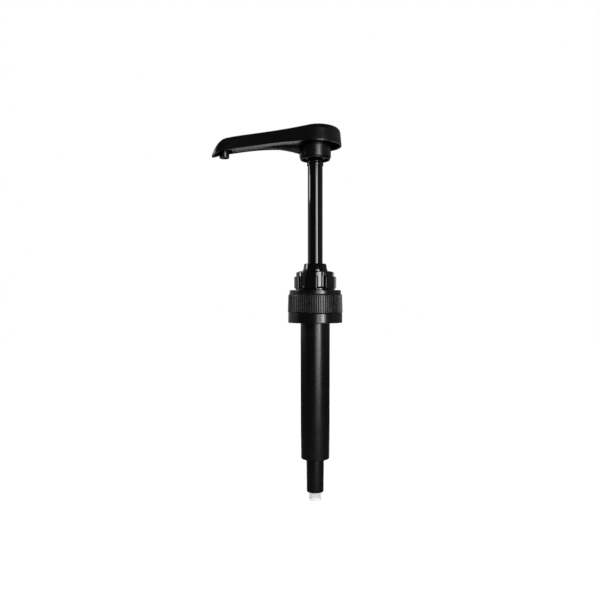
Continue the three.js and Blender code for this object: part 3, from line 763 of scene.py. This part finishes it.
def make_nut():
    """Rows of (height, radius between lugs, radius on a lug) round the outside, then the plain inside."""
    rows = [(5.2, 15.6, 15.6), (5.35, 15.8, 15.8), (6.1, 15.8, 15.8), (6.25, 15.6, 16.2),
            (6.35, 15.2, 16.7), (6.55, 14.6, 16.9), (6.9, 14.2, 16.9), (7.4, VALLEY_R, 16.9)]
    rows += [(7.4 + 7.6 * k / 10, VALLEY_R, 16.9) for k in range(1, 11)]
    rows += [(15.3, VALLEY_R, 16.85), (15.5, VALLEY_R, 16.7), (15.65, VALLEY_R, 16.45),
             (15.7, VALLEY_R, 16.1), (15.72, VALLEY_R, 15.6), (15.8, VALLEY_R, 15.38),
             (15.95, VALLEY_R, 15.3)]
    rows += [(15.95 + 2.6 * k / 4, VALLEY_R, 15.3) for k in range(1, 5)]
    rows += [(18.8, VALLEY_R, 15.25), (19.05, VALLEY_R, 15.1), (19.2, 13.97, 14.85), (19.3, 13.92, 14.4),
             (19.42, 13.82, 13.95), (19.6, 13.65, 13.65), (19.75, 13.45, 13.45), (19.85, 13.2, 13.2),
             (19.9, 12.9, 12.9)]
    inside = [(19.9, 10.6), (19.8, 10.35), (19.6, 10.3), (17.9, 10.3), (17.9, NUT_THREAD_R)]
    inside += [(17.9 - 12.5 * k / 50, NUT_THREAD_R) for k in range(1, 51)]
    inside += [(5.2, 13.15)]
    profile = [(row[1], row[0]) for row in rows] + [(r, z) for z, r in inside]
    lugged = {(row[1], row[0]): row[2] for row in rows}

    def warp(r, z, angle):
        if (r, z) in lugged:
            return r + (lugged[(r, z)] - r) * lug_share(angle), z
        if r == NUT_THREAD_R and 5.5 < z < 17.5:
            share = ridge(z, angle % (2 * math.pi), low=8.9, pitch=NECK_PITCH, turns=1.6, width=1.2)
            return r - 0.35 * share, z
        return r, z

    return revolved("lugged_nut", profile, angles=nut_angles(), warp=warp)


# ------------------------------------------------------------------ closure
RIB_COUNT = 72
RIB_LOW = -13.5
RIB_HIGH = 1.6
RIB_CREST = 22.0
RIB_DEPTH = 0.74
RIB_LAND = 0.42
SKIRT_R = 21.7
CAP_BORE = 19.15
CAP_HOLE = 12.9


def rib_share(angle):
    """1 on a rib's land, 0 in a groove, with steep rounded flanks between them."""
    phase = (angle * RIB_COUNT / (2 * math.pi)) % 1.0
    groove_start = 0.95
    descent = clamped((abs(phase - 0.5) * 2 - RIB_LAND) / (groove_start - RIB_LAND))
    return 0.5 + 0.5 * math.cos(math.pi * descent)


def rib_angles():
    """Angles that are close together on the ribs' flanks."""
    phases = [0.0] + [0.025 + 0.265 * k / 7 for k in range(8)]
    phases += [0.4, 0.5, 0.6] + [1 - phase for phase in reversed(phases[1:])]
    return [2 * math.pi * (i + phase) / RIB_COUNT for i in range(RIB_COUNT) for phase in phases]


def on_line(start, end, z):
    """The (r, z) point at a height on the straight line between two others."""
    share = (z - start[1]) / (end[1] - start[1])
    return start[0] + (end[0] - start[0]) * share, z


def make_cap():
    """The screw closure, with ribs raised on its wall and a thread ridge on its bore."""
    wall_foot, wall_head = (21.05, -13.4), (20.65, 1.75)
    rib_levels = [on_line(wall_foot, wall_head, z) for z in (-12.81, -12.27, 0.13, 0.67, 1.21)]
    thread_wall = [(CAP_BORE, -6.0 - 0.545 * k) for k in range(15)]
    profile = rounded([
        (CAP_BORE, -21.2, 0.3), (SKIRT_R, -21.2, 0.5), (SKIRT_R, -20.2), (SKIRT_R, -14.7),
        (SKIRT_R, -13.95, 0.25), (*wall_foot, 0.1), *rib_levels, (*wall_head, 0.1), (20.68, 1.9, 0.1),
        (20.675, 2.4), (20.66, 3.7), (20.65, 4.9, 0.7), (19.4, 4.9), (CAP_HOLE, 4.9), (CAP_HOLE, 2.9),
        (CAP_BORE, 2.9), *thread_wall, (CAP_BORE, -20.4)], steps=4)

    def warp(r, z, angle):
        if r > 20.3 and RIB_LOW - 0.05 < z < RIB_HIGH + 0.1:
            lift = clamped(min((z - RIB_LOW + 0.05) / 0.45, (RIB_HIGH + 0.1 - z) / 0.6))
            crest_r = RIB_CREST - 0.02 * RIB_CREST * (z - RIB_LOW) / (RIB_HIGH - RIB_LOW)
            return r + (crest_r - RIB_DEPTH * (1 - rib_share(angle)) - r) * lift, z
        if abs(r - CAP_BORE) < 0.15 and -14 < z < -4:
            return r - 1.35 * ridge(z, angle, low=-12.5, pitch=4.23, turns=1.3, width=1.6), z
        return r, z

    return revolved("screw_closure", profile, angles=rib_angles(), warp=warp)


# ------------------------------------------------------------------ cylinder and inlet
BARREL_R = 11.8
BARREL_BORE = 10.2
NECK_R = 11.9
FLANGE_R = 18.6
INLET_BORE = 5.45
THROAT_R = 3.6


def make_cylinder():
    """The barrel with its flange, threaded neck and vent hole."""
    outer = rounded([
        (9.3, -130.0, 0.1), (11.6, -130.0, 0.9), (BARREL_R, 1.0), (FLANGE_R, 1.0, 0.2),
        (FLANGE_R, 2.6, 0.2), (NECK_R, 2.6)], steps=6)
    neck = [(NECK_R, 2.8 + 12.0 * k / 60) for k in range(61)]
    inner = [(11.5, 15.0), (10.4, 15.0), (BARREL_BORE, 14.7), (BARREL_BORE, -129.2), (9.3, -129.2)]

    def warp(r, z, angle):
        if r == NECK_R and 7 < z < 14.6:
            return r + 0.6 * ridge(z, angle, low=7.4, pitch=NECK_PITCH, turns=1.9, width=1.2), z
        return r, z

    barrel = revolved("pump_barrel", outer + neck + inner, warp=warp)
    vent = bar_along_y("vent", 0.9, (0, 11, -4), 6)
    return combine(barrel, vent, "DIFFERENCE")


def make_inlet_fitting():
    """The inlet spout with the ball's seat above and the dip tube's socket below."""
    return revolved("inlet_spigot", rounded([
        (INLET_BORE, -156.5, 0.2), (6.98, -156.5, 0.5), (7.2, -130.0), (9.2, -130.0, 0.1), (9.2, -129.1),
        (10.1, -129.1), (10.1, -128.2), (6.0, -128.2), (THROAT_R, -131.3), (THROAT_R, -134.0),
        (INLET_BORE, -134.0)], steps=6))


def bar_along_y(name, radius, centre, length, sides=40):
    """A short round bar."""
    verts, faces = [], []
    for end in (-0.5, 0.5):
        for k in range(sides):
            a = 2 * math.pi * k / sides
            verts.append((centre[0] + radius * math.cos(a), centre[1] + end * length,
                          centre[2] + radius * math.sin(a)))
    for k in range(sides):
        m = (k + 1) % sides
        faces.append((k, m, sides + m, sides + k))
    faces.append(tuple(range(sides)))
    faces.append(tuple(reversed(range(sides, 2 * sides))))
    return mesh_object(name, verts, faces)


def make_cage():
    """The cap over the inlet ball, with two crossed slots for the sauce."""
    cage = revolved("inlet_cage", rounded([
        (5.2, -128.1), (9.9, -128.1, 0.3), (9.9, -125.0, 0.4), (7.0, -125.0, 0.4), (7.0, -118.4, 0.6),
        (2.2, -118.4, 0.2), (2.2, -120.2), (5.2, -120.2)]))
    for turn in (0, math.pi / 2):
        slot = slab("slot", stations(-8, 8, 2), lambda x: 2.2, lambda x: -124.6, lambda x: -120.2)
        slot.data.transform(rotation_about_z(turn))
        combine(cage, slot, "DIFFERENCE")
    return cage


def rotation_about_z(angle):
    return Matrix.Rotation(angle, 4, "Z")


def make_ball_stop():
    """The ring over the outlet ball, with three notches for the sauce."""
    stop = make_ring("ball_stop", inner=2.6, outer=4.12, low=0.6, high=2.6, edge=0.2, steps=5)
    for angle in full_turn(3):
        notch = slab("notch", stations(1.8, 3.5, 2), lambda x: 0.9, lambda x: 0, lambda x: 3)
        notch.data.transform(rotation_about_z(angle))
        combine(stop, notch, "DIFFERENCE")
    return stop


def make_ring(name, inner, outer, low, high, edge=0.15, steps=3):
    """A plain ring of square section with rounded edges."""
    return revolved(name, rounded([(inner, low, edge), (outer, low, edge), (outer, high, edge),
                                   (inner, high, edge)], steps=steps))


# ------------------------------------------------------------------ assembly
finished(make_head(), "lever", SATIN, ["pump_head"])
finished(make_cover_plate(), "lever", COVER_BLACK, ["channel_cover"])
finished(make_gusset(), "lever", SATIN, ["channel_cover"])
finished(make_stem(), "lever", GLOSS, ["stem"])
finished(make_o_ring("head_seal_ring", 114.1), "lever", SEAL_GREY, ["head_o_ring"])
finished(make_o_ring("foot_seal_ring", 4.6), "lever", SEAL_GREY, ["stem_o_ring"])
finished(make_ball_stop(), "lever", NATURAL, ["outlet_ball_stop"])

finished(make_guide(), "pump_body", GLOSS, ["stem_guide"])
finished(make_wiper(), "pump_body", SEAL_GREY, ["stem_wiper"])
finished(make_ring("wiper_snap_ring", inner=6.5, outer=8.6, low=8.1, high=9.6),
         "pump_body", NATURAL, ["wiper_retainer"])
finished(make_nut(), "pump_body", GLOSS, ["guide_nut"])
finished(make_ring("nut_flat_ring", inner=10.4, outer=12.4, low=15.1, high=16.0),
         "pump_body", SEAL_WHITE, ["nut_gasket"])
finished(make_ring("neck_flat_ring", inner=12.0, outer=18.4, low=0, high=0.95),
         "pump_body", SEAL_WHITE, ["neck_gasket"])
finished(make_cylinder(), "pump_body", BARREL, ["cylinder"])
finished(make_inlet_fitting(), "pump_body", BARREL, ["inlet_fitting"])
finished(make_cage(), "pump_body", NATURAL, ["inlet_ball_cage"])
finished(make_ring("pickup_tube", inner=4.4, outer=5.4, low=-163.4, high=-134.1, edge=0.2),
         "pump_body", TUBE, ["dip_tube"])

finished(make_cap(), "closure", RIBBED, ["closure_cap"])

finished(make_carrier(), "piston", NATURAL, ["piston_carrier"])
finished(make_piston_seal(), "piston", SEAL_WHITE, ["piston_seal"])
finished(make_guide_ring(), "piston", SEAL_WHITE, ["piston_guide_ring"])
finished(make_ring("spring_seat_washer", inner=5.0, outer=9.6, low=-16.2, high=-15.1),
         "piston", SPRING_STEEL, ["spring_washer"])


def ball_for(node):
    """Radius and height of a ball, from its CAD node's box."""
    low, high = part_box(node)
    return (high.z - low.z) / 2 / MM, (high.z + low.z) / 2 / MM


finished(ball("outlet_valve_ball", *ball_for("outlet_ball")),
         "outlet_valve", BALL_STEEL, ["outlet_ball"])
finished(ball("inlet_valve_ball", *ball_for("inlet_ball")),
         "inlet_valve", BALL_STEEL, ["inlet_ball"])

coil = finished(make_spring(), "pump_body", SPRING_STEEL, ["return_spring"])
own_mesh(coil)


# ------------------------------------------------------------------ stage, light and camera
HORIZON = -3.0 * MM
CAMERA_DISTANCE = 0.5025
CAMERA_SIDE = -0.0122
FLOOR = -0.32
FLOOR_HALF = 4.0
SOFTBOX_DISTANCE = 0.9
ROOM_BASE = 0.05
# direction, the cosines between which it fades in, and strength of each pale part of the room
ROOM_GLOWS = (
    ((-0.8, 0.6, 0.0), 0.55, 0.9, 0.36),
    ((0.95, 0.31, 0.0), 0.4, 0.9, 0.14),
    ((0.0, 1.0, 0.0), 0.85, 0.97, 0.10),
)


def by_ray(tree, mirrored, seen):
    """A shader that shows one look to the camera and another to every other ray."""
    rays = tree.nodes.new("ShaderNodeLightPath")
    mix = tree.nodes.new("ShaderNodeMixShader")
    tree.links.new(rays.outputs["Is Camera Ray"], mix.inputs["Fac"])
    tree.links.new(mirrored, mix.inputs[1])
    tree.links.new(seen, mix.inputs[2])
    return mix.outputs["Shader"]


def make_floor():
    """A white floor, lit evenly to the camera, that stays dim in the plastic's reflections."""
    mesh = bpy.data.meshes.new("floor")
    corners = [(-1, -1), (1, -1), (1, 1), (-1, 1)]
    mesh.from_pydata([(x * FLOOR_HALF, y * FLOOR_HALF, FLOOR) for x, y in corners], [], [(0, 1, 2, 3)])
    floor = linked("floor", mesh)
    material, tree, shader, place = new_material("pale_floor")
    tree.links.new(ramp(tree, noise(tree, place, 3, 2), (0.90, 0.90, 0.90), (0.93, 0.93, 0.93)),
                   shader.inputs["Base Color"])
    shader.inputs["Roughness"].default_value = 0.9
    shader.inputs["Emission Color"].default_value = (1, 1, 1, 1)
    shader.inputs["Emission Strength"].default_value = 1.0
    dim = tree.nodes.new("ShaderNodeBsdfDiffuse")
    dim.inputs["Color"].default_value = (0.22, 0.22, 0.22, 1)
    tree.links.new(by_ray(tree, dim.outputs["BSDF"], shader.outputs["BSDF"]),
                   tree.nodes["Material Output"].inputs["Surface"])
    mesh.materials.append(material)


def area_light(name, width, tall, radiance):
    """A rectangular light that lights the pump and isn't seen itself."""
    data = bpy.data.lights.new(name, "AREA")
    data.shape = "RECTANGLE"
    data.size, data.size_y = width, tall
    data.energy = radiance * math.pi * width * tall
    lamp = linked(name, data)
    lamp.visible_camera = False
    return lamp


def softbox(name, azimuth, height, width, tall, radiance, tilt=0.0):
    """A light facing the pump's axis. Azimuth runs from the camera's side to its right."""
    lamp = area_light(name, width, tall, radiance)
    a = math.radians(azimuth)
    away = Vector((math.sin(a), -math.cos(a), 0))
    lamp.location = away * SOFTBOX_DISTANCE + Vector((0, 0, height))
    lamp.rotation_mode = "QUATERNION"
    turn = away.to_track_quat("Z", "Y")
    turn.rotate(Quaternion(away, math.radians(tilt)))
    lamp.rotation_quaternion = turn


def floor_light(name, near, far, half_width, radiance):
    """A light lying on the floor behind the pump, that shines up on the lever's underside."""
    lamp = area_light(name, 2 * half_width, far - near, radiance)
    lamp.location = (0, (near + far) / 2, FLOOR + 0.005)
    lamp.rotation_euler = (math.pi, 0, 0)


def direction_share(tree, place, towards, start, end):
    """How far a reflected direction points towards another, from 0 at cosine `start` to 1 at `end`."""
    dot = tree.nodes.new("ShaderNodeVectorMath")
    dot.operation = "DOT_PRODUCT"
    dot.inputs[1].default_value = towards
    tree.links.new(place.outputs["Generated"], dot.inputs[0])
    share = tree.nodes.new("ShaderNodeMapRange")
    share.interpolation_type = "SMOOTHSTEP"
    share.inputs["From Min"].default_value = start
    share.inputs["From Max"].default_value = end
    tree.links.new(dot.outputs["Value"], share.inputs["Value"])
    return share.outputs["Result"]


def make_world():
    """White to the camera; the plastic mirrors a dark room, paler behind the pump and to its left."""
    world = bpy.data.worlds.new("studio")
    bpy.context.scene.world = world
    world.use_nodes = True
    tree = world.node_tree
    tree.nodes.clear()
    out = tree.nodes.new("ShaderNodeOutputWorld")
    white = tree.nodes.new("ShaderNodeBackground")
    white.inputs["Color"].default_value = (1, 1, 1, 1)
    white.inputs["Strength"].default_value = 1.0
    room = tree.nodes.new("ShaderNodeBackground")
    room.inputs["Color"].default_value = (1, 1, 1, 1)
    place = tree.nodes.new("ShaderNodeTexCoord")
    total = None
    for towards, start, end, level in ROOM_GLOWS:
        part = tree.nodes.new("ShaderNodeMath")
        part.operation = "MULTIPLY_ADD"
        part.inputs[1].default_value = level
        part.inputs[2].default_value = ROOM_BASE
        tree.links.new(direction_share(tree, place, towards, start, end), part.inputs[0])
        if total:
            tree.links.new(total, part.inputs[2])
        total = part.outputs["Value"]
    tree.links.new(total, room.inputs["Strength"])
    tree.links.new(by_ray(tree, room.outputs["Background"], white.outputs["Background"]),
                   out.inputs["Surface"])


def make_camera():
    data = bpy.data.cameras.new("camera")
    data.sensor_width = 36
    data.lens = 37.5
    camera = linked("camera", data)
    camera.location = (CAMERA_SIDE, -CAMERA_DISTANCE, HORIZON)
    camera.rotation_euler = (math.pi / 2, 0, 0)
    bpy.context.scene.camera = camera


make_floor()
make_world()
softbox("key_softbox", azimuth=29, height=0.09, width=0.2, tall=0.44, radiance=11.5, tilt=18)
softbox("wide_softbox", azimuth=23, height=0.02, width=0.54, tall=0.56, radiance=3.4)
softbox("key_side_strip", azimuth=11, height=0.09, width=0.09, tall=0.44, radiance=2.2, tilt=8)
softbox("left_high_softbox", azimuth=-98, height=0.40, width=0.32, tall=0.36, radiance=7.5)
floor_light("low_back_light", near=0.38, far=0.8, half_width=0.35, radiance=1.9)
make_camera()
bpy.context.scene.view_settings.view_transform = "Standard"
